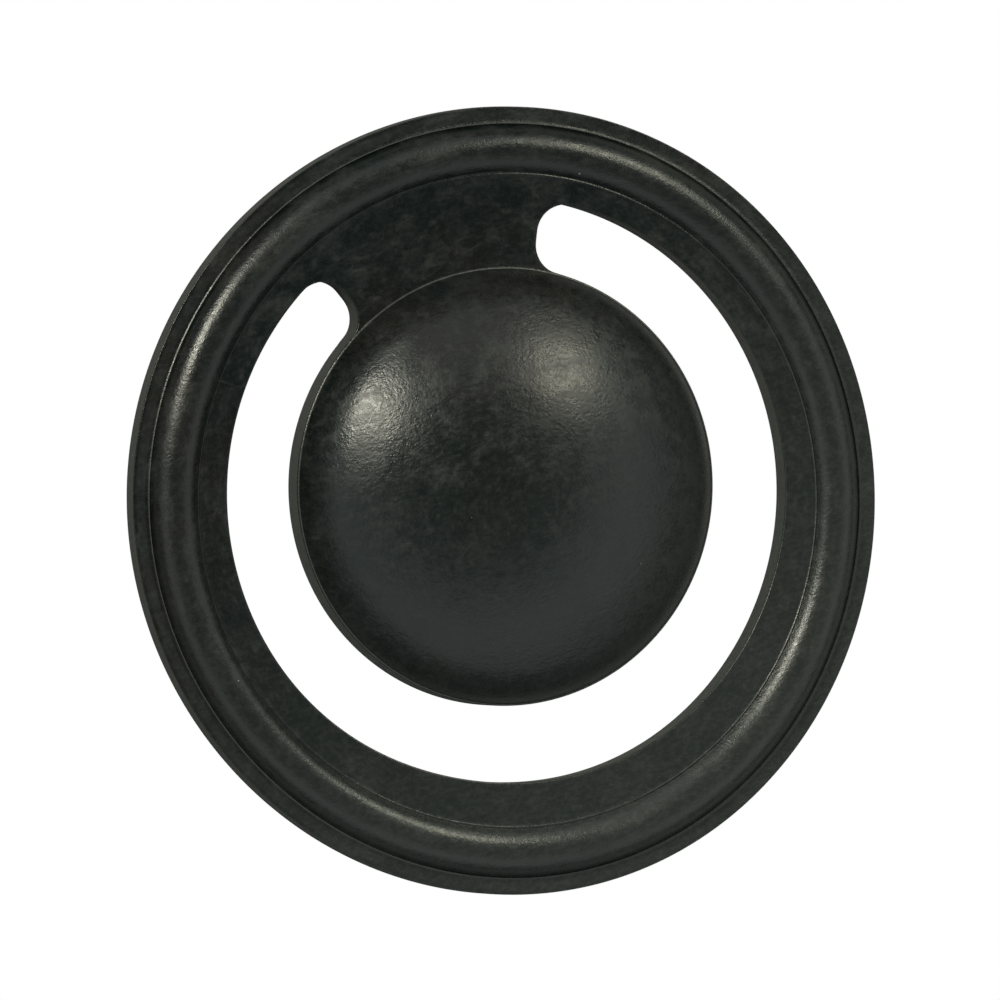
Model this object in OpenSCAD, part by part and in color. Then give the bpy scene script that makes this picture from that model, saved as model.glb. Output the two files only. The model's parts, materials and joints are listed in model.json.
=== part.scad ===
// Swing-flap check valve moulded in rubber, with its own sealing ring.
// A domed, weighted flap hangs inside a beaded ring on one short rubber strap. The ring is clamped
// in a pump casing by its bead, the flat underside of the flap closes the inlet port, and the flap
// lifts towards its domed side when water flows in.
// Frame: ring centre on the ring's underside, +Z on the domed side, +Y towards the hinge strap.

/* [Ring] */
// Outer diameter of the ring
ring_d = 80; // [70:0.5:100]
// Diameter of the round hole in the ring
hole_d = 60; // [56:0.5:62]
// How far the hole's centre sits towards the hinge
hole_shift = 0.85; // [0:0.05:1.2]
// Thickness of the flat lip outside the bead
lip_t = 2.2; // [1.6:0.1:2.6]
// Thickness of the web inside the bead, and of the strap and the flap's edge
web_t = 3; // [2.6:0.1:3.4]

/* [Bead] */
// Diameter of the circle along the middle of the bead
bead_circle_d = 71.1; // [69.8:0.1:72]
// Radius of the bead's round section
bead_r = 2.7; // [2.4:0.1:2.9]
// Height of the bead's crest above the underside
bead_top = 4.1; // [3.9:0.1:4.6]

/* [Flap] */
// Diameter of the flap
flap_d = 44.7; // [40:0.1:48]
// How far the flap's centre sits towards the hinge
flap_shift = 1.5; // [0.5:0.05:2]
// Ledge between the flap's edge and the foot of the dome
dome_inset = 0.2; // [0.1:0.05:1]
// Rise of the dome above the flap's flat edge
dome_rise = 10; // [9.5:0.1:10.5]
// Radius of the dome's crown, compared with that of a plain round cap of the same rise
crown_ratio = 1.1175; // [1.08:0.0025:1.3]
// Radius of the dome's shoulder, between crown and rim
shoulder_r = 10.5; // [8:0.5:11]
// Width of the flat sealing land under the flap's edge
land_w = 5.35; // [3:0.05:7]
// Depth of the recess inside the sealing land
recess_depth = 0.6; // [0.3:0.1:1.2]

/* [Weight] */
// Diameter of the steel weight inside the dome
weight_d = 30; // [20:0.5:32]
// Height of the steel weight
weight_h = 5.5; // [3:0.1:6]
// Bevel around the weight's upper edge
weight_bevel = 2; // [0.5:0.1:2.5]
// Thickness of the bonding layer between weight and rubber
bond_gap = 0.05; // [0.02:0.01:0.1]
// Diameter of the holes that the weight's support pins leave in the underside
pin_hole_d = 3; // [2:0.1:4]
// Diameter of the circle on which those holes lie
pin_circle_d = 20; // [12:0.5:22]
// Number of those holes
pin_holes = 3; // [2:1:4]

/* [Hinge] */
// Angle between the strap's middle and each of its sides, seen from the ring's centre
strap_half_angle = 23; // [18:0.5:26]
// Radius of the rounded corners at both ends of the C-shaped slot
slot_corner_r = 3; // [2:0.1:3.2]
// Distance from the flap's edge to the bending line next to it
flap_bend_offset = 0.9; // [0.8:0.05:1.5]
// Distance between the two bending lines
bend_pitch = 1.65; // [1.5:0.05:1.8]
// Clearance between the segments of the strap
bend_gap = 0.15; // [0.12:0.01:0.2]

/* [Hidden] */
$fn = 128;

over = 1;                                     // how far a cut runs past the face it opens
ring_r = ring_d / 2;
hole_r = hole_d / 2;
flap_r = flap_d / 2;
bead_circle_r = bead_circle_d / 2;
bead_z = bead_top - bead_r;                   // height of the bead section's centre
dome_r = flap_r - dome_inset;                 // radius of the dome's foot

// Bending lines run along X at half the strap's thickness
bend_z = web_t / 2;
flap_bend_y = flap_shift + flap_r + flap_bend_offset;
ring_bend_y = flap_bend_y + bend_pitch;
knuckle_r = web_t / 2;                        // round end of the strap's middle segment
socket_r = knuckle_r + bend_gap;              // hollow that it turns in

// Slot corners are rounded no more than the strap's length leaves room for
strap_len = hole_shift + hole_r - flap_shift - flap_r;
corner_share = 0.45;                          // most of the strap's length that one corner may take
corner_r = min(slot_corner_r, corner_share * strap_len);

// Half of the middle segment's width: up to the strap's straight sides at the ring-side bending line
bend_half_w = ring_bend_y * tan(strap_half_angle);

// Directions along and across the side of the strap, for the side at +X
side_dir = [sin(strap_half_angle), cos(strap_half_angle)];
side_out = [cos(strap_half_angle), -sin(strap_half_angle)];

// Centre of a slot corner: one corner radius off the strap's side, and reach away from (0, shift)
function corner_along(shift, reach) =
    let (middle = shift * side_dir.y,
         across = corner_r + shift * side_dir.x)
    middle + sqrt(pow(reach, 2) - pow(across, 2));
function corner_centre(shift, reach) =
    corner_along(shift, reach) * side_dir + corner_r * side_out;

// Direction from the round edge's centre (0, shift) to a point
function from_centre(point, shift) = (point - [0, shift]) / norm(point - [0, shift]);

hole_corner = corner_centre(hole_shift, hole_r - corner_r);
flap_corner = corner_centre(flap_shift, flap_r + corner_r);

// Dome section: the shoulder circle touches the crown circle inside and passes through the rim
crown_r = crown_ratio * (pow(dome_r, 2) + pow(dome_rise, 2)) / (2 * dome_rise);
crown_c = [0, dome_rise - crown_r];
rim_p = [dome_r, 0];
rim_gap = norm(rim_p - crown_c);
rim_dir = (rim_p - crown_c) / rim_gap;
shoulder_reach = crown_r - shoulder_r;
shoulder_along = (pow(shoulder_reach, 2) - pow(shoulder_r, 2) + pow(rim_gap, 2)) / (2 * rim_gap);
shoulder_aside = sqrt(pow(shoulder_reach, 2) - pow(shoulder_along, 2));
shoulder_c = crown_c + shoulder_along * rim_dir + shoulder_aside * [-rim_dir.y, rim_dir.x];
join_dir = (shoulder_c - crown_c) / shoulder_reach;

// Outline of the strap seen from above, running on into flap and ring at its ends
module strap_plan() {
    right_side = [
        flap_corner - (corner_r + over) * from_centre(flap_corner, flap_shift),
        flap_corner,
        flap_corner - corner_r * side_out,
        hole_corner - corner_r * side_out,
        hole_corner,
        hole_corner + (corner_r + over) * from_centre(hole_corner, hole_shift),
    ];
    left_side = [for (i = [len(right_side) - 1 : -1 : 0]) [-right_side[i].x, right_side[i].y]];
    difference() {
        polygon(concat(right_side, [[0, hole_d]], left_side));
        for (side = [0, 1], centre = [hole_corner, flap_corner])
            mirror([side, 0])
                translate(centre) circle(r = corner_r);
    }
}

module hole_plan() {
    translate([0, hole_shift]) circle(r = hole_r);
}

// Stretch of the strap next to the ring, which belongs to it
module root_plan() {
    intersection() {
        strap_plan();
        translate([-hole_r, hole_corner.y]) square([hole_d, hole_r]);
    }
}

// Stretch of the strap next to the flap, which belongs to it, no wider than the ring's room for it
module tongue_plan() {
    intersection() {
        strap_plan();
        polygon([
            [-flap_r, flap_shift], [flap_r, flap_shift], [flap_r, flap_corner.y],
            [bend_half_w, flap_corner.y], [bend_half_w, flap_bend_y], [-bend_half_w, flap_bend_y],
            [-bend_half_w, flap_corner.y], [-flap_r, flap_corner.y],
        ]);
    }
}

// Room that the ring leaves for the strap's moving segments
module bend_window_plan() {
    half_w = bend_half_w + bend_gap;
    translate([-half_w, 0]) square([2 * half_w, ring_bend_y]);
}

// Cylinder along X around a bending line
module bend_cylinder(y, r, half_w) {
    translate([-half_w, y, bend_z]) rotate([0, 90, 0]) cylinder(r = r, h = 2 * half_w);
}

module ring_section() {
    square([ring_r, lip_t]);
    square([bead_circle_r, web_t]);
    translate([bead_circle_r, bead_z])
        intersection() {
            circle(r = bead_r);
            translate([-bead_r, 0]) square(2 * bead_r);
        }
}

module seal_ring() {
    color([0.13, 0.145, 0.135])
        difference() {
            rotate_extrude() ring_section();
            translate([0, 0, -over])
                linear_extrude(bead_top + 2 * over) {
                    difference() {
                        hole_plan();
                        root_plan();
                    }
                    bend_window_plan();
                }
            bend_cylinder(ring_bend_y, socket_r, bend_half_w + bend_gap);
        }
}

// Side view of the strap's middle segment: two round ends joined by a straight stretch
module knuckle_section() {
    for (y = [flap_bend_y, ring_bend_y])
        translate([y, bend_z]) circle(r = knuckle_r);
    translate([flap_bend_y, bend_z - knuckle_r]) square([bend_pitch, 2 * knuckle_r]);
}

module hinge_strap() {
    color([0.15, 0.16, 0.15])
        intersection() {
            linear_extrude(web_t) strap_plan();
            translate([-bend_half_w, 0, 0])
                rotate([90, 0, 90]) linear_extrude(2 * bend_half_w) knuckle_section();
        }
}

module flap_disc() {
    color([0.13, 0.145, 0.135])
        difference() {
            union() {
                translate([0, flap_shift, 0]) cylinder(r = flap_r, h = web_t);
                linear_extrude(web_t) tongue_plan();
            }
            bend_cylinder(flap_bend_y, socket_r, flap_r);
            translate([0, flap_shift, -over]) cylinder(r = flap_r - land_w, h = over + recess_depth);
            for (pin = [0 : pin_holes - 1])
                translate([0, flap_shift, -over])
                    rotate(360 * pin / pin_holes - 90)
                        translate([pin_circle_d / 2, 0, 0]) cylinder(d = pin_hole_d, h = web_t + 2 * over);
        }
}

// Half of the dome's section, its foot on the line z = 0
module dome_section() {
    intersection() {
        square([dome_r, dome_rise]);
        union() {
            intersection() {
                translate(crown_c) circle(r = crown_r);
                polygon([crown_c, crown_c + 2 * crown_r * join_dir, crown_c + [0, 2 * crown_r]]);
            }
            difference() {
                translate(shoulder_c) circle(r = shoulder_r);
                polygon([crown_c, crown_c + 2 * crown_r * join_dir, crown_c + [0, 2 * crown_r]]);
            }
            polygon([[0, crown_c.y], [0, 0], shoulder_c, rim_p]);
        }
    }
}

// Half of the weight's section, grown by gap at its side and top
module weight_section(gap) {
    r = weight_d / 2 + gap;
    h = weight_h + gap;
    polygon([[0, 0], [r, 0], [r, h - weight_bevel], [r - weight_bevel, h], [0, h]]);
}

module flap_dome() {
    color([0.15, 0.165, 0.155])
        translate([0, flap_shift, web_t])
            rotate_extrude()
                difference() {
                    dome_section();
                    weight_section(bond_gap);
                }
}

module flap_weight() {
    color([0.5, 0.5, 0.52])
        translate([0, flap_shift, web_t]) rotate_extrude() weight_section(0);
}

seal_ring();
hinge_strap();
flap_disc();
flap_dome();
flap_weight();
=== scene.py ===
"""Visual model of a moulded rubber swing-flap check valve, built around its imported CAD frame.

Shapes are worked out in millimetres, as numpy outlines, and turned into meshes in metres. One continuous
rubber skin is made in four pieces that share their edges: ring, two halves of the strap, and flap.
"""
import json
import math

import bmesh
import bpy
import numpy as np
from mathutils import Matrix, Vector


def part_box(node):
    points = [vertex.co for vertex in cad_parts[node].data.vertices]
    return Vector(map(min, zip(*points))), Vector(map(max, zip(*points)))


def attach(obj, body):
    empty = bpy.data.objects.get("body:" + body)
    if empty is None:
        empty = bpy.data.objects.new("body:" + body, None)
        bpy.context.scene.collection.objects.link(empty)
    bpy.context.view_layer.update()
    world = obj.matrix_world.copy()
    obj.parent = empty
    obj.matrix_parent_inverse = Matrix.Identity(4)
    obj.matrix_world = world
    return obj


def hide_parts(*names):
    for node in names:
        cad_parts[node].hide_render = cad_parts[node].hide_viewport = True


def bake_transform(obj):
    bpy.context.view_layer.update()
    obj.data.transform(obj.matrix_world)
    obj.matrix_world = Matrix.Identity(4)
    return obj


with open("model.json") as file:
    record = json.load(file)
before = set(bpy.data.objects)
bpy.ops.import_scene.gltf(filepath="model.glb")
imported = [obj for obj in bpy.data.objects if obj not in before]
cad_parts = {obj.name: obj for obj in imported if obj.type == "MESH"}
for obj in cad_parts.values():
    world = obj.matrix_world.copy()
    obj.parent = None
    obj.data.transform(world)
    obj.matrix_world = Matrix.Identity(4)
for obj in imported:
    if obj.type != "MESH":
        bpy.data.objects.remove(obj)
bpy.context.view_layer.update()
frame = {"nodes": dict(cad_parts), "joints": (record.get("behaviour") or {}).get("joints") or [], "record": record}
record = frame["record"]

MM = 0.001

# ---------------------------------------------------------------- sizes, in millimetres
mounts = {m["name"]: m for m in record["mounts"]}
bends = [j["pos_m"][1] / MM for j in frame["joints"]]
RING_BEND_Y, FLAP_BEND_Y = max(bends), min(bends)
MID_Y = (RING_BEND_Y + FLAP_BEND_Y) / 2

ring_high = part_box("seal_ring")[1] / MM
disc_low, disc_high = (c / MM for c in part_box("flap_disc"))
dome_low, dome_high = (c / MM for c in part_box("flap_dome"))
weight_low, weight_high = (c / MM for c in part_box("flap_weight"))

RING_R = ring_high.x
BEAD_TOP = ring_high.z
LIP_T = mounts["rim"]["dims"]["length_mm"]
BEAD_CIRCLE_R = -mounts["ring_underside"]["pos_m"][1] / MM
BEAD_R = 2.7
HOLE_R = 30.0
HOLE_SHIFT = 0.85

WEB_T = disc_high.z
FLAP_R = disc_high.x
FLAP_SHIFT = disc_low.y + FLAP_R
DOME_R = dome_high.x
DOME_RISE = dome_high.z - dome_low.z
CROWN_RATIO = 1.1175      # crown radius over that of a plain cap of the same rise
SHOULDER_R = 10.5
LAND_W = 5.35
RECESS = 0.6

WEIGHT_R = weight_high.x
WEIGHT_H = weight_high.z - weight_low.z
WEIGHT_BEVEL = 2.0
BOND_GAP = 0.05
PIN_R = 1.5
PIN_CIRCLE_R = 10.0
PIN_HOLES = 3

STRAP_HALF_ANGLE = math.radians(23.0)
SLOT_CORNER_R = 3.0
EDGE_R = 0.16             # moulded edges of slot, strap and flap
EDGE_FADE = 1.0           # stretch over which they run out at the ends of a seam
LEDGE_EDGE = 0.5          # share of it left on the flap's upper edge, beside the dome
LIP_EDGE_R = 0.1          # trimmed outer edge of the lip
RECESS_EDGE_R = 0.12
FLASH_H = 0.09            # fine parting lines at the bead's outer foot and the dome's foot
INNER_FLASH_H = 0.09      # and at the bead's inner foot, where it is highest and its painted highlight brightest
INNER_FLASH_AT = math.radians(-32)
INNER_FLASH_SWING = 0.45  # share by which it varies round the ring, either way from its mean
FLASH_W = 0.32
DOME_LINE_IN = 0.04       # crest of the dome's line, inwards from the middle of the ledge
DOME_LINE_SIDE = 0.07     # from that crest out to a point on its outer side,
DOME_LINE_RISE = 0.4      # which has this share of the crest's height
DOME_LINE_WEAR_AND_HIGHLIGHT = 0.5      # and this share of rubbing and painted highlight

# The soft ring lies a little out of round: lobes, height of each lobe and direction of the first
OUT_OF_ROUND = ((2, 0.22, math.radians(-77)), (3, 0.19, math.radians(39)))
ROUND_WITHIN = 31.5       # radius up to which the web keeps its place
OUT_OF_ROUND_FULL = 35.0  # and from which the lobes have their full height
HOLE_DIP = 0.5            # the hole's edge runs in by this much, opposite the strap
HOLE_DIP_AT = math.radians(-115)
HOLE_DIP_SPREAD = math.radians(28)

# Mesh steps
STRAP_COLUMNS = 41
HOLE_STEPS = 560
CORNER_STEPS = 9
STRAP_STEPS = 14
FLAP_STEPS = 420
EDGE_STEPS = 3
WALL_STEPS = 6
LIP_STEPS = 5
WEB_STEPS = 12
UNDER_STEPS = 12
LAND_STEPS = 8
BEAD_STEPS = 40
SHOULDER_STEPS = 22
CROWN_STEPS = 60
POCKET_STEPS = 96
PIN_STEPS = 48
WELD_MM = 1e-4
SHARP_ANGLE = math.radians(60)

# Rubbing of the surface, with painted highlight on raised crests: 1 on the crest of a parting line, 0 on moulded
# skin, -1 on a dull wall
RUBBED = 0.3              # on a moulded edge
LIP_RUBBED = 0.5          # on the lip's upper face
BEAD_RUBBED_AND_HIGHLIGHT = 0.4         # along the bead's crest: rubbing, with painted highlight towards its top
DULL_SHARE = -0.4         # faces whose mean wear is below this are walls


# ---------------------------------------------------------------- outlines
def smooth(t):
    t = np.clip(t, 0, 1)
    return t * t * (3 - 2 * t)


side_dir = np.array([math.sin(STRAP_HALF_ANGLE), math.cos(STRAP_HALF_ANGLE)])
side_out = np.array([math.cos(STRAP_HALF_ANGLE), -math.sin(STRAP_HALF_ANGLE)])


def slot_corner(shift, reach):
    """Centre of a slot's rounded corner on the +X side, reach away from (0, shift)."""
    across = SLOT_CORNER_R + shift * side_dir[0]
    along = shift * side_dir[1] + math.sqrt(reach ** 2 - across ** 2)
    return along * side_dir + SLOT_CORNER_R * side_out


HOLE_C = np.array([0.0, HOLE_SHIFT])
FLAP_C = np.array([0.0, FLAP_SHIFT])
hole_corner = slot_corner(HOLE_SHIFT, HOLE_R - SLOT_CORNER_R)
flap_corner = slot_corner(FLAP_SHIFT, FLAP_R + SLOT_CORNER_R)
SEAM_Y = hole_corner[1] + SLOT_CORNER_R      # the strap's skin starts here, just clear of the slots


def arc(centre, radius, start, end, count):
    """count points along an arc, from angle start to angle end, ends included."""
    a = np.linspace(start, end, count)
    return np.stack([centre[0] + radius * np.cos(a), centre[1] + radius * np.sin(a)], axis=1)


def angle_of(v):
    return math.atan2(v[1], v[0])


def mirrored(points):
    """The same points on the -X side, in the opposite order."""
    return points[::-1] * np.array([-1.0, 1.0])


# The strap's +X side: down the hole's corner, a short straight stretch, and down the flap's corner
across_strap = np.linspace(-1, 1, STRAP_COLUMNS)
hole_turn = angle_of(hole_corner - HOLE_C)
mid_turn = math.pi - math.asin((MID_Y - hole_corner[1]) / SLOT_CORNER_R)
side_turn = math.pi - STRAP_HALF_ANGLE
flap_turn = angle_of(FLAP_C - flap_corner) % (2 * math.pi)
strap_turn = angle_of(flap_corner - FLAP_C)      # where the flap's circle meets its corner


def wall_profile(edge):
    """(inset, height, wear) down a wall of the web's height, with both its edges rounded by edge."""
    turn = np.linspace(0, math.pi / 2, EDGE_STEPS + 1)
    inset = edge * (1 - np.sin(turn))
    drop = edge * (1 - np.cos(turn))
    worn_and_highlight = RUBBED * np.sin(2 * turn) * edge / EDGE_R
    middle = np.linspace(WEB_T - edge, edge, WALL_STEPS + 1)[1:-1]
    dull = np.full(len(middle), -1.0 if edge > 0 else 0.0)
    return np.concatenate([
        np.stack([inset, WEB_T - drop, worn_and_highlight], axis=1),
        np.stack([0 * middle, middle, dull], axis=1),
        np.stack([inset, drop, worn_and_highlight], axis=1)[::-1],
    ])


def parting_line(foot_r, foot_z, outward, height):
    """(radius, height, wear) over the fine raised line at the foot of a bead, from its far side."""
    run = np.array([1.0, 0.78, 0.56, 0.36, 0.14])
    rise = np.array([0.0, 0.5, 1.0, 0.3, -0.3])
    # The raised crest is painted lighter: partly the flash's own paler tone, partly painted highlight where the
    # fine line catches the light, stronger the taller the line
    worn_and_highlight = np.clip(rise, 0, 1) * height / FLASH_H
    return np.stack([foot_r + outward * FLASH_W * run, foot_z + height * rise, worn_and_highlight], axis=1)


def fading_edge(points, ends):
    """Edge radius at each point: EDGE_R, down to nothing where the seam between two pieces ends."""
    gap = np.min([np.linalg.norm(points - end, axis=1) for end in ends], axis=0)
    return EDGE_R * smooth(gap / EDGE_FADE)


def section(*stretches):
    """Joins stretches of (radius, height) or (radius, height, wear) into one (n, 3) outline."""
    padded = [np.column_stack([s, np.zeros((len(s), 3 - np.shape(s)[1]))]) for s in stretches]
    return np.concatenate(padded)


def level(start, end, height, steps):
    """Points between two radii at one height, ends left out."""
    r = np.linspace(start, end, steps)[1:-1]
    return np.stack([r, np.full(len(r), height)], axis=1)


def in_space(plan, profile):
    """(x, y, z, wear) from an (n, 2) plan and the height and wear of an (n, 3) profile."""
    return np.column_stack([plan, profile[:, 1:]])


def flat(plan, height):
    """A row of (x, y, z, wear) at one height, unworn."""
    return np.column_stack([plan, np.full(len(plan), height), np.zeros(len(plan))])


# ---------------------------------------------------------------- meshes
def build(name, grids, fill=()):
    """A closed mesh from grids of points (x, y, z, wear) in mm, each a list of closed loops.

    A grid is (loops, ends): ends is "join" where the last loop meets the first, "caps" where a face
    closes both, "last" where one closes the last only, and "open" otherwise. fill lists the heights
    at which flat faces close what is still open.
    """
    bm = bmesh.new()
    wear_and_highlight = bm.verts.layers.float.new("wear_and_highlight")
    for loops, ends in grids:
        grid = []
        for row in loops:
            grid.append([bm.verts.new((x * MM, y * MM, z * MM)) for x, y, z, _ in row])
            for vert, point in zip(grid[-1], row):
                vert[wear_and_highlight] = point[3]
        following = grid[1:] + grid[:1] if ends == "join" else grid[1:]
        for a, b in zip(grid, following):
            for j in range(len(a)):
                k = (j + 1) % len(a)
                bm.faces.new((a[j], a[k], b[k], b[j]))
        if ends == "caps":
            bm.faces.new(grid[0])
        if ends in ("caps", "last"):
            bm.faces.new(grid[-1])
    for height in fill:
        rim = [
            e for e in bm.edges
            if e.is_boundary and all(abs(v.co.z / MM - height) < WELD_MM for v in e.verts)
        ]
        bmesh.ops.triangle_fill(bm, use_beauty=True, use_dissolve=False, edges=rim)
    bmesh.ops.remove_doubles(bm, verts=bm.verts, dist=WELD_MM * MM)
    bmesh.ops.recalc_face_normals(bm, faces=bm.faces)
    for face in bm.faces:
        face.smooth = True
        face.material_index = int(sum(v[wear_and_highlight] for v in face.verts) < DULL_SHARE * len(face.verts))
    for edge in bm.edges:
        edge.smooth = edge.calc_face_angle(0) < SHARP_ANGLE
    mesh = bpy.data.meshes.new(name)
    bm.to_mesh(mesh)
    bm.free()
    rest = np.zeros(len(mesh.vertices) * 3, np.float32)
    mesh.vertices.foreach_get("co", rest)
    mesh.attributes.new("rest_mm", "FLOAT_VECTOR", "POINT").data.foreach_set("vector", rest / MM)
    piece = bpy.data.objects.new(name, mesh)
    bpy.context.scene.collection.objects.link(piece)
    return piece


# ---------------------------------------------------------------- ring
def hole_outline():
    """Points round the ring's inner edge, clockwise from the strap's -X end."""
    seam = strap_row(hole_corner[0], SEAM_Y)
    corner = arc(hole_corner, SLOT_CORNER_R, math.pi / 2, hole_turn, CORNER_STEPS)[1:]
    turn = np.linspace(hole_turn, -math.pi - hole_turn, HOLE_STEPS)[1:-1]
    reach = HOLE_R - HOLE_DIP * np.exp(-((turn - HOLE_DIP_AT) / HOLE_DIP_SPREAD) ** 2)
    around = HOLE_C + reach[:, None] * np.stack([np.cos(turn), np.sin(turn)], axis=1)
    return np.concatenate([seam, corner, around, mirrored(corner)])


def out_of_round(turn):
    return sum(height * math.cos(lobes * (turn - first)) for lobes, height, first in OUT_OF_ROUND)


def ring_outside(turn):
    """(radius, height, wear) from the lip's lower edge over lip and bead to the web, in one direction."""
    e = LIP_EDGE_R
    bead_z = BEAD_TOP - BEAD_R
    low = math.asin((LIP_T - bead_z) / BEAD_R)
    high = math.asin((WEB_T - bead_z) / BEAD_R)
    outer_foot = BEAD_CIRCLE_R + BEAD_R * math.cos(low)
    inner_foot = BEAD_CIRCLE_R - BEAD_R * math.cos(high)
    heights = np.linspace(e, LIP_T - e, WALL_STEPS + 1)[1:-1]
    wall = np.array([(RING_R, z, -1.0) for z in heights])
    lip = level(RING_R - e, outer_foot + FLASH_W, LIP_T, LIP_STEPS)
    bead = arc((BEAD_CIRCLE_R, bead_z), BEAD_R, low, math.pi - high, BEAD_STEPS)[1:-1]
    # The bead is painted lighter towards its crest: partly rubbing, partly painted highlight
    crest = smooth((bead[:, 1] - LIP_T) / (BEAD_TOP - LIP_T))
    swing = INNER_FLASH_SWING * math.cos(turn - INNER_FLASH_AT)
    inner_h = INNER_FLASH_H * (1 - INNER_FLASH_SWING + swing)
    return section(
        arc((RING_R - e, e), e, -math.pi / 2, 0, EDGE_STEPS + 1),
        wall,
        arc((RING_R - e, LIP_T - e), e, 0, math.pi / 2, EDGE_STEPS + 1),
        np.column_stack([lip, np.full(len(lip), LIP_RUBBED)]),
        parting_line(outer_foot, LIP_T, 1, FLASH_H),
        np.column_stack([bead, BEAD_RUBBED_AND_HIGHLIGHT * crest]),
        parting_line(inner_foot, WEB_T, -1, inner_h)[::-1],
    )


def make_ring():
    outline = hole_outline()
    seam_ends = [outline[0], outline[STRAP_COLUMNS - 1]]
    edges = fading_edge(outline, seam_ends)
    edges[:STRAP_COLUMNS] = 0
    loops = []
    for point, edge in zip(outline, edges):
        outside = ring_outside(angle_of(point))
        inner = np.linalg.norm(point)
        around = section(
            outside,
            level(outside[-1, 0], inner + edge, WEB_T, WEB_STEPS),
            wall_profile(edge) + np.array([inner, 0, 0]),
            level(inner + edge, outside[0, 0], 0, UNDER_STEPS),
        )
        share = smooth((around[:, :1] - ROUND_WITHIN) / (OUT_OF_ROUND_FULL - ROUND_WITHIN))
        reach = around[:, :1] + share * out_of_round(angle_of(point))
        loops.append(in_space(reach * point / inner, around))
    return build("ring_moulding", [(loops, "join")])


# ---------------------------------------------------------------- strap
def strap_row(half_w, y):
    return np.stack([across_strap * half_w, np.full(STRAP_COLUMNS, y)], axis=1)


def strap_loop(top, side, edge):
    """Closed loop round the strap: its top row, the +X wall at side, the underside and the -X wall."""
    wall = wall_profile(edge)
    plan = side - wall[:, :1] * np.array([1.0, 0.0])
    right = in_space(plan, wall)[1:-1]
    left = right[::-1] * np.array([-1.0, 1.0, 1.0, 1.0])
    return np.concatenate([flat(top, WEB_T), right, flat(top[::-1], 0), left])


def make_strap_ring_side():
    sides = arc(hole_corner, SLOT_CORNER_R, math.pi / 2, mid_turn, STRAP_STEPS)
    edges = fading_edge(sides, [sides[0]])
    loops = [strap_loop(strap_row(s[0] - e, s[1]), s, e) for s, e in zip(sides, edges)]
    return build("strap_ring_side", [(loops, "caps")])


def make_strap_flap_side():
    upper = arc(hole_corner, SLOT_CORNER_R, mid_turn, side_turn, 3)
    lower = arc(flap_corner, SLOT_CORNER_R, side_turn, flap_turn, STRAP_STEPS)
    straight = [upper[-1] * (1 - t) + lower[0] * t for t in np.linspace(0, 1, 5)[1:-1]]
    sides = np.concatenate([upper, straight, lower])
    edges = fading_edge(sides, [sides[-1]])
    first = strap_row(sides[0, 0] - edges[0], MID_Y)
    last = arc(FLAP_C, FLAP_R, math.pi - strap_turn, strap_turn, STRAP_COLUMNS)
    share = (across_strap[:, None] + 1) / 2
    loops = []
    for side, edge in zip(sides, edges):
        t = (MID_Y - side[1]) / (MID_Y - sides[-1, 1])
        row = (1 - t) * first + t * last
        right = side - np.array([edge, 0.0])
        left = right * np.array([-1.0, 1.0])
        row = row + share * (right - row[-1]) + (1 - share) * (left - row[0])
        loops.append(strap_loop(row, side, edge))
    return build("strap_flap_side", [(loops, "caps")])


# ---------------------------------------------------------------- flap
def dome_outline():
    """(radius, height) up the dome, from just above its foot to its centre."""
    crown_r = CROWN_RATIO * (DOME_R ** 2 + DOME_RISE ** 2) / (2 * DOME_RISE)
    crown_c = np.array([0.0, DOME_RISE - crown_r])
    rim = np.array([DOME_R, 0.0])
    gap = np.linalg.norm(rim - crown_c)
    rim_dir = (rim - crown_c) / gap
    reach = crown_r - SHOULDER_R
    along = (reach ** 2 - SHOULDER_R ** 2 + gap ** 2) / (2 * gap)
    aside = math.sqrt(reach ** 2 - along ** 2)
    shoulder_c = crown_c + along * rim_dir + aside * np.array([-rim_dir[1], rim_dir[0]])
    join = angle_of(shoulder_c - crown_c)
    foot = math.asin((FLASH_H - shoulder_c[1]) / SHOULDER_R)
    shoulder = arc(shoulder_c, SHOULDER_R, foot, join, SHOULDER_STEPS)[:-1]
    crown = arc(crown_c, crown_r, join, math.pi / 2, CROWN_STEPS)
    return np.concatenate([shoulder, crown]) + np.array([0, WEB_T])


def flap_section(edge, dome):
    """(radius, height, wear) from the recess under the flap, round its edge and up the dome."""
    recess_r = FLAP_R - LAND_W
    e = RECESS_EDGE_R
    wall = wall_profile(edge)[::-1]
    wall[:, 0] = FLAP_R - wall[:, 0] * np.where(wall[:, 1] > WEB_T / 2, LEDGE_EDGE, 1)
    crest = (FLAP_R + DOME_R) / 2 - DOME_LINE_IN
    outer_side = (crest + DOME_LINE_SIDE, WEB_T + DOME_LINE_RISE * FLASH_H, DOME_LINE_WEAR_AND_HIGHLIGHT)
    foot = np.array([outer_side, (crest, WEB_T + FLASH_H, 1.0)])
    return section(
        arc((recess_r - e, RECESS - e), e, math.pi / 2, 0, EDGE_STEPS + 1),
        arc((recess_r + e, e), e, math.pi, 3 * math.pi / 2, EDGE_STEPS + 1),
        level(recess_r + e, FLAP_R - edge, 0, LAND_STEPS),
        wall,
        foot,
        dome,
    )


def circle(centre, radius, height, count):
    """A closed loop (x, y, z, wear) on one level."""
    return flat(arc(centre, radius, 0, 2 * math.pi, count + 1)[:-1], height)


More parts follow.
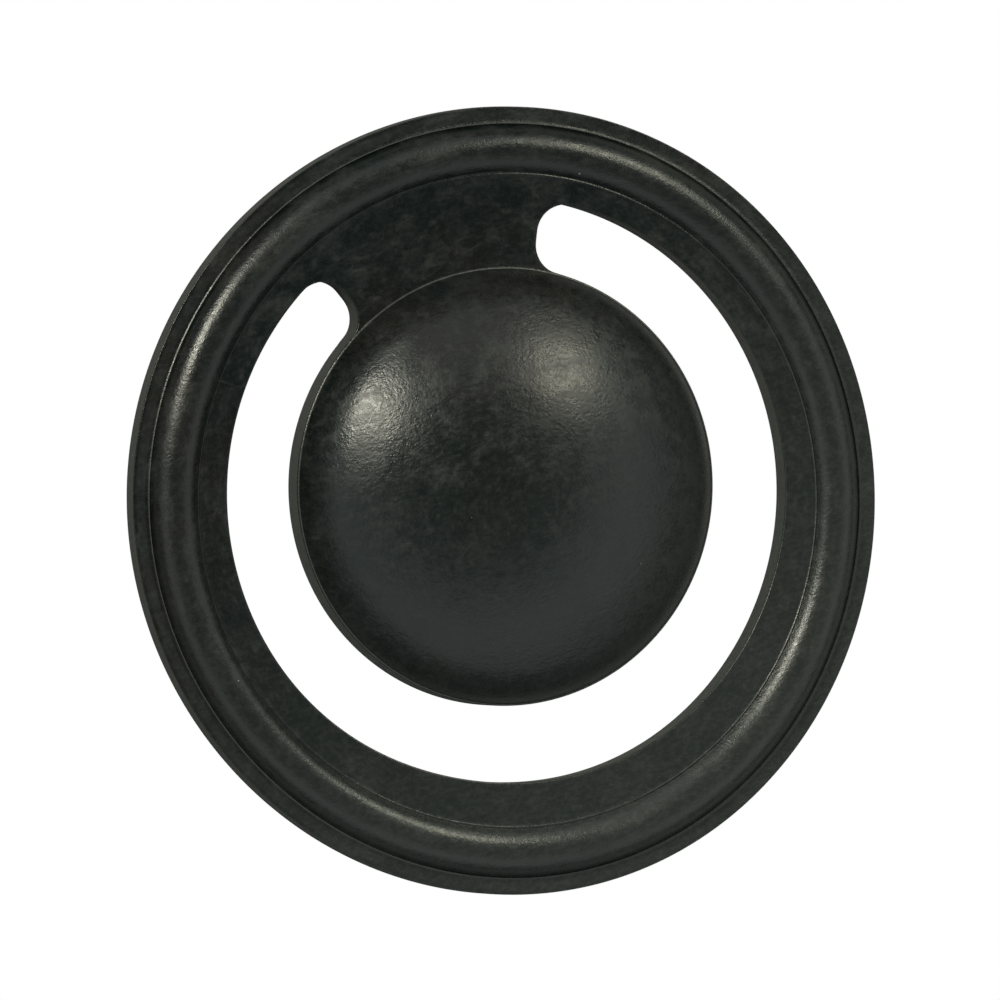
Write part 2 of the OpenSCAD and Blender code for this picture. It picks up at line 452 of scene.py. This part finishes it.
def make_flap():
    over_strap = np.linspace(strap_turn, math.pi - strap_turn, STRAP_COLUMNS)
    free = np.linspace(math.pi - strap_turn, strap_turn + 2 * math.pi, FLAP_STEPS)[1:-1]
    turns = np.concatenate([over_strap, free])
    outline = np.stack([np.cos(turns), np.sin(turns)], axis=1)
    edges = fading_edge(FLAP_R * outline, FLAP_R * outline[[0, STRAP_COLUMNS - 1]])
    edges[:STRAP_COLUMNS] = 0
    dome = dome_outline()
    columns = []
    for direction, edge in zip(outline, edges):
        side = flap_section(edge, dome)
        columns.append(in_space(FLAP_C + side[:, :1] * direction, side))
    grids = [(np.stack(columns, axis=1), "open")]
    pocket_r = WEIGHT_R + BOND_GAP
    pocket_top = WEB_T + WEIGHT_H + BOND_GAP
    grids.append(([
        circle(FLAP_C, pocket_r, WEB_T, POCKET_STEPS),
        circle(FLAP_C, pocket_r, pocket_top - WEIGHT_BEVEL, POCKET_STEPS),
        circle(FLAP_C, pocket_r - WEIGHT_BEVEL, pocket_top, POCKET_STEPS),
    ], "last"))
    for i in range(PIN_HOLES):
        turn = 2 * math.pi * i / PIN_HOLES - math.pi / 2
        centre = FLAP_C + PIN_CIRCLE_R * np.array([math.cos(turn), math.sin(turn)])
        heights = np.linspace(RECESS, WEB_T, WALL_STEPS)
        grids.append(([circle(centre, PIN_R, z, PIN_STEPS) for z in heights], "open"))
    return build("flap_moulding", grids, fill=(RECESS, WEB_T))


# ---------------------------------------------------------------- materials
PALER_SLOPE = (0.010, -0.028, 0.0)     # per mm: the rubber gets paler away from the strap and towards +X
STREAK_R = 16.0                       # mm: beyond this radius the marks are drawn out round the ring

# Rubber colours, in the order in which they lie on each other
GREENISH = (0.0012, 0.0042, 0.0044, 1)
BROWNISH = (0.0078, 0.0060, 0.0057, 1)
MOTTLE = (0.0060, 0.0085, 0.0082, 1)
# Paler tone, laid on more thickly away from the strap
PALER_TONE = (0.045, 0.050, 0.047, 1)
BLOOM = (0.028, 0.031, 0.029, 1)
STREAK = (0.026, 0.028, 0.027, 1)
# Lighter tone of rubbed edges, lip and crests, with painted highlight on the bead's crest and the parting lines
WORN_AND_HIGHLIGHT = (0.06, 0.060, 0.054, 1)
# Painted highlight on the crests of the parting lines, over the flash's own paler tone
PARTING_LINE_AND_HIGHLIGHT = (0.16, 0.165, 0.15, 1)
# Painted light: a light grey tone standing in for the light that the dull wall faces catch
WALL_PAINTED_LIGHT = (0.11, 0.115, 0.11, 1)
BARE = (0.002, 0.003, 0.003, 1)
DUST = (0.05, 0.053, 0.05, 1)
RUB = (0.05, 0.049, 0.046, 1)
SCRATCH = (0.1, 0.105, 0.1, 1)
SPECK = (0.3, 0.29, 0.27, 1)

CLEAN_STEEL = (0.42, 0.42, 0.43, 1)
RUST = (0.13, 0.06, 0.03, 1)


class Graph:
    """Wires up one material's nodes. A value is a number, a colour, a vector or a node's output."""

    def __init__(self, tree):
        self.tree = tree
        tree.nodes.clear()

    def node(self, kind, values, **settings):
        node = self.tree.nodes.new(kind)
        for key, value in settings.items():
            setattr(node, key, value)
        for key, value in values.items():
            if isinstance(value, bpy.types.NodeSocket):
                self.tree.links.new(value, node.inputs[key])
            else:
                node.inputs[key].default_value = value
        return node

    def attribute(self, name, output):
        return self.node("ShaderNodeAttribute", {}, attribute_name=name).outputs[output]

    def math(self, operation, a, b=0.0):
        return self.node("ShaderNodeMath", {0: a, 1: b}, operation=operation).outputs[0]

    def remap(self, value, low, high, to_low=0.0, to_high=1.0):
        """Smooth step of value between low and high, clamped."""
        values = {"Value": value, "From Min": low, "From Max": high, "To Min": to_low, "To Max": to_high}
        return self.node("ShaderNodeMapRange", values, interpolation_type="SMOOTHSTEP").outputs[0]

    def noise(self, at, scale, detail=2.0, roughness=0.5, distortion=0.0):
        values = {"Vector": at, "Scale": scale, "Detail": detail, "Roughness": roughness}
        values["Distortion"] = distortion
        return self.node("ShaderNodeTexNoise", values).outputs[0]

    def stretched(self, at, turn, scale):
        values = {"Vector": at, "Rotation": (0, 0, math.radians(turn)), "Scale": scale}
        return self.node("ShaderNodeMapping", values).outputs[0]

    def around(self, at, start_r):
        """Coordinates whose noise is drawn out along circles about the Z axis, beyond start_r."""
        flat_at = self.node("ShaderNodeVectorMath", {0: at, 1: (1, 1, 0)}, operation="MULTIPLY").outputs[0]
        radius = self.node("ShaderNodeVectorMath", {0: flat_at}, operation="LENGTH").outputs["Value"]
        direction = self.node("ShaderNodeVectorMath", {0: flat_at}, operation="NORMALIZE").outputs[0]
        kept = self.math("MINIMUM", radius, start_r)
        scaled = self.node("ShaderNodeVectorMath", {0: direction, "Scale": kept}, operation="SCALE")
        out = self.node("ShaderNodeCombineXYZ", {2: radius}).outputs[0]
        return self.node("ShaderNodeVectorMath", {0: scaled.outputs[0], 1: out}, operation="ADD").outputs[0]

    def mix(self, share, a, b):
        return self.node("ShaderNodeMix", {0: share, 6: a, 7: b}, data_type="RGBA").outputs[2]

    def layers(self, colour, coats):
        """Colour with coats (where, strength, tone) laid over it in turn."""
        for where, strength, tone in coats:
            colour = self.mix(self.math("MULTIPLY", where, strength), colour, tone)
        return colour

    def total(self, terms):
        """Sum of value * weight over (value, weight) pairs."""
        result = 0.0
        for value, weight in terms:
            result = self.math("ADD", self.math("MULTIPLY", value, weight), result)
        return result

    def surface(self, height_mm, **values):
        """Principled surface with bump from a height in mm."""
        bump = self.node("ShaderNodeBump", {"Height": height_mm, "Distance": MM, "Strength": 1.0})
        values = {key.replace("_", " "): value for key, value in values.items()}
        values["Normal"] = bump.outputs[0]
        shader = self.node("ShaderNodeBsdfPrincipled", values)
        self.node("ShaderNodeOutputMaterial", {"Surface": shader.outputs[0]})


def new_material(name):
    material = bpy.data.materials.new(name)
    material.use_nodes = True
    return material, Graph(material.node_tree)


def rubber(name, specular, extra_roughness, wall_painted_light_share):
    """Satin black moulded rubber with patches, a paler tone away from the strap, rub marks, fine scratches, orange
    peel and painted highlights on raised crests.

    The last argument is the share of a light grey tone on the dull wall faces: painted light standing in for the
    light they catch.
    """
    material, g = new_material(name)
    rest = g.attribute("rest_mm", "Vector")
    wear_and_highlight = g.attribute("wear_and_highlight", "Fac")
    round_ring = g.around(rest, STREAK_R)
    patches = g.remap(g.noise(rest, 0.06, 3, 0.55), 0.45, 0.62)
    mottle = g.noise(rest, 0.55, 4, 0.62)
    bloom = g.remap(g.noise(round_ring, 0.3, 5, 0.66, 0.4), 0.46, 0.76)
    streaks = g.remap(g.noise(g.stretched(rest, 35, (0.1, 1.3, 1.0)), 0.7, 3, 0.6), 0.5, 0.8)
    along = g.node("ShaderNodeVectorMath", {0: rest, 1: PALER_SLOPE}, operation="DOT_PRODUCT")
    # paler away from the strap and towards +X, broken up by the mottle
    paler_away = g.remap(g.math("ADD", along.outputs["Value"], g.math("MULTIPLY", mottle, 0.6)), -0.6, 1.8)
    dust = g.remap(g.noise(g.stretched(rest, -15, (1.0, 1.6, 1.0)), 1.4, 4, 0.7), 0.36, 0.68)
    rubs = g.remap(g.noise(round_ring, 1.1, 5, 0.68), 0.48, 0.72)
    worn_and_highlight = g.remap(wear_and_highlight, 0.0, 1.0)
    cells = g.node("ShaderNodeTexVoronoi", {"Vector": rest, "Scale": 0.3})
    pick = g.node("ShaderNodeSeparateColor", {0: cells.outputs["Color"]}).outputs[0]
    specks = g.math("LESS_THAN", cells.outputs["Distance"], g.remap(pick, 0.5, 1.0, 0.0, 0.035))
    bent = g.stretched(rest, -50, (0.5, 1.0, 1.0))
    lines = g.node("ShaderNodeTexVoronoi", {"Vector": bent, "Scale": 0.11}, feature="DISTANCE_TO_EDGE")
    scratched = g.remap(g.noise(rest, 0.2, 2), 0.54, 0.68)
    scratches = g.math("MULTIPLY", g.remap(lines.outputs["Distance"], 0.0, 0.014, 1.0, 0.0), scratched)

    colour = g.layers(g.mix(patches, GREENISH, BROWNISH), [
        (g.remap(mottle, 0.35, 0.7), 0.6, MOTTLE),
        (paler_away, 0.8, PALER_TONE),
        (bloom, 0.5, BLOOM),
        (streaks, 0.3, STREAK),
        # rubbing, with painted highlight on the bead's crest and the parting lines
        (worn_and_highlight, 0.35, WORN_AND_HIGHLIGHT),
        # painted highlight along the crests of the parting lines, over their own paler tone
        (g.remap(wear_and_highlight, 0.6, 1.0), 0.55, PARTING_LINE_AND_HIGHLIGHT),
        # painted light on the dull wall faces, standing in for the light they catch
        (1.0, wall_painted_light_share, WALL_PAINTED_LIGHT),
        (g.remap(dust, 0.0, 1.0, 1.0, 0.0), 0.25, BARE),
        (dust, 0.04, DUST),
        (rubs, 0.24, RUB),
        (scratches, 0.14, SCRATCH),
        (specks, 0.7, SPECK),
    ])
    roughness = g.total([
        (mottle, 0.22), (bloom, 0.16), (streaks, 0.05), (worn_and_highlight, 0.05), (dust, 0.08), (rubs, 0.1),
        (1.0, 0.10 + extra_roughness),
    ])
    peel = g.noise(g.stretched(rest, 20, (1.0, 1.3, 1.2)), 2.1, 2, 0.5)
    grain = g.noise(rest, 4.5, 3, 0.6)
    waves = g.noise(rest, 0.13, 2, 0.5)
    height = g.total([
        (peel, 0.027), (grain, 0.026), (waves, 0.12), (bloom, 0.006), (specks, 0.02), (scratches, -0.006),
    ])
    g.surface(height, Base_Color=colour, Roughness=roughness, Specular_IOR_Level=specular)
    return material


def steel():
    """Turned mild steel, with fine tool marks round its axis and a little rust."""
    material, g = new_material("turned_steel")
    place = g.node("ShaderNodeTexCoord", {}).outputs["Object"]
    centred = g.node("ShaderNodeVectorMath", {0: place, 1: (0, FLAP_SHIFT * MM, 0)}, operation="SUBTRACT")
    across = g.node("ShaderNodeVectorMath", {0: centred.outputs[0], 1: (1, 1, 0)}, operation="MULTIPLY")
    radius = g.node("ShaderNodeVectorMath", {0: across.outputs[0]}, operation="LENGTH").outputs["Value"]
    in_mm = g.node("ShaderNodeVectorMath", {0: place, "Scale": 1 / MM}, operation="SCALE").outputs[0]
    marks = g.noise(g.node("ShaderNodeCombineXYZ", {0: radius}).outputs[0], 9000, 3, 0.6)
    rust = g.remap(g.noise(in_mm, 0.5, 5, 0.65), 0.56, 0.72)
    colour = g.mix(rust, CLEAN_STEEL, RUST)
    roughness = g.total([(marks, 0.2), (rust, 0.35), (1.0, 0.25)])
    g.surface(g.total([(marks, 0.008), (rust, 0.01)]), Base_Color=colour, Roughness=roughness, Metallic=0.9)
    return material


# ---------------------------------------------------------------- pieces
ring = make_ring()
ring_side = make_strap_ring_side()
flap_side = make_strap_flap_side()
flap = make_flap()

skin = rubber("moulded_rubber", 0.5, 0.0, 0.0)
# The wall material carries painted light in its colour
walls_painted_light = rubber("rubber_wall_painted_light", 0.4, 0.2, 0.5)
for piece in (ring, ring_side, flap_side, flap):
    piece.data.materials.append(skin)
    piece.data.materials.append(walls_painted_light)
for slot in frame["nodes"]["flap_weight"].material_slots:
    slot.material = steel()

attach(ring, "ring")
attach(flap, "flap")
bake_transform(ring_side)
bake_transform(flap_side)
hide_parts("seal_ring")
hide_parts("hinge_strap")
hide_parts("flap_disc", "flap_dome")


# ---------------------------------------------------------------- stage, light and camera
# Lengths are in metres here, apart from the lens
FLOOR_GAP = 0.0002
FLOOR_HALF = 1.5
FLOOR_GREY = 0.3                     # what the floor reflects; the camera sees it white
TURN = math.radians(-16.7)           # of the camera and the lights about Z
TILT_ACROSS = math.radians(-18.85)   # of the camera from straight above
TILT_ALONG = math.radians(-0.85)
LENS_MM = 1500                       # a long lens: the photo shows next to no perspective
SENSOR_MM = 36.0
VIEW_WIDTH = 0.1018                  # width of the view at the ring
CLIP_END = 10
LIGHT_DISTANCE = 0.6
SKY_TINT = (0.92, 1.0, 0.98)


def make_floor():
    corners = [(-1, -1), (1, -1), (1, 1), (-1, 1)]
    mesh = bpy.data.meshes.new("floor")
    mesh.from_pydata([(x * FLOOR_HALF, y * FLOOR_HALF, -FLOOR_GAP) for x, y in corners], [], [(0, 1, 2, 3)])
    floor = bpy.data.objects.new("floor", mesh)
    bpy.context.scene.collection.objects.link(floor)
    material, g = new_material("pale_floor")
    paper = g.node("ShaderNodeBsdfDiffuse", {"Color": (FLOOR_GREY, FLOOR_GREY, FLOOR_GREY, 1)})
    white = g.node("ShaderNodeEmission", {"Color": (1, 1, 1, 1), "Strength": 1.0})
    seen = g.node("ShaderNodeLightPath", {}).outputs["Is Camera Ray"]
    shader = g.node("ShaderNodeMixShader", {0: seen, 1: paper.outputs[0], 2: white.outputs[0]})
    g.node("ShaderNodeOutputMaterial", {"Surface": shader.outputs[0]})
    mesh.materials.append(material)


def make_light(name, direction, size, power, colour):
    """Round soft box that faces the object from a direction given as it lies before the camera."""
    light = bpy.data.lights.new(name, "AREA")
    light.shape = "DISK"
    light.size = size
    light.energy = power
    light.color = colour
    lamp = bpy.data.objects.new(name, light)
    towards = Matrix.Rotation(TURN, 3, "Z") @ Vector(direction).normalized()
    lamp.location = towards * LIGHT_DISTANCE
    lamp.rotation_euler = towards.to_track_quat("Z", "Y").to_euler()
    lamp.visible_camera = False
    bpy.context.scene.collection.objects.link(lamp)


def make_world(levels):
    """Sky whose brightness depends on height only: levels are (sine of the elevation, brightness)."""
    world = bpy.data.worlds.new("studio")
    world.use_nodes = True
    bpy.context.scene.world = world
    g = Graph(world.node_tree)
    direction = g.node("ShaderNodeTexCoord", {}).outputs["Generated"]
    height = g.node("ShaderNodeSeparateXYZ", {0: direction}).outputs["Z"]
    ramp = g.node("ShaderNodeValToRGB", {0: height})
    stops = ramp.color_ramp.elements
    for i, (position, brightness) in enumerate(levels):
        stop = stops[i] if i < 2 else stops.new(position)
        stop.position = position
        stop.color = (*(brightness * tint for tint in SKY_TINT), 1)
    background = g.node("ShaderNodeBackground", {"Color": ramp.outputs[0], "Strength": 1.0})
    g.node("ShaderNodeOutputWorld", {"Surface": background.outputs[0]})


def make_camera():
    lens = bpy.data.cameras.new("camera")
    lens.lens = LENS_MM
    lens.sensor_width = SENSOR_MM
    lens.clip_end = CLIP_END
    camera = bpy.data.objects.new("camera", lens)
    bpy.context.scene.collection.objects.link(camera)
    turn = Matrix.Rotation(TURN, 3, "Z")
    aim = turn @ Matrix.Rotation(TILT_ACROSS, 3, "Y") @ Matrix.Rotation(TILT_ALONG, 3, "X")
    distance = VIEW_WIDTH * LENS_MM / SENSOR_MM
    place = aim @ Vector((0, 0, distance))
    camera.matrix_world = Matrix.Translation(place) @ aim.to_4x4()
    bpy.context.scene.camera = camera


make_floor()
make_world([(0.0, 0.02), (1.0, 0.07), (0.17, 0.04), (0.37, 0.6), (0.65, 0.72), (0.83, 0.2)])
make_light("key", (-0.64, 0.475, 0.60), 0.14, 1.95, (1.0, 0.98, 0.82))
make_light("fill", (0.495, 0.575, 0.60), 0.19, 0.85, (1.0, 0.98, 0.78))
make_camera()
bpy.context.scene.view_settings.view_transform = "Standard"
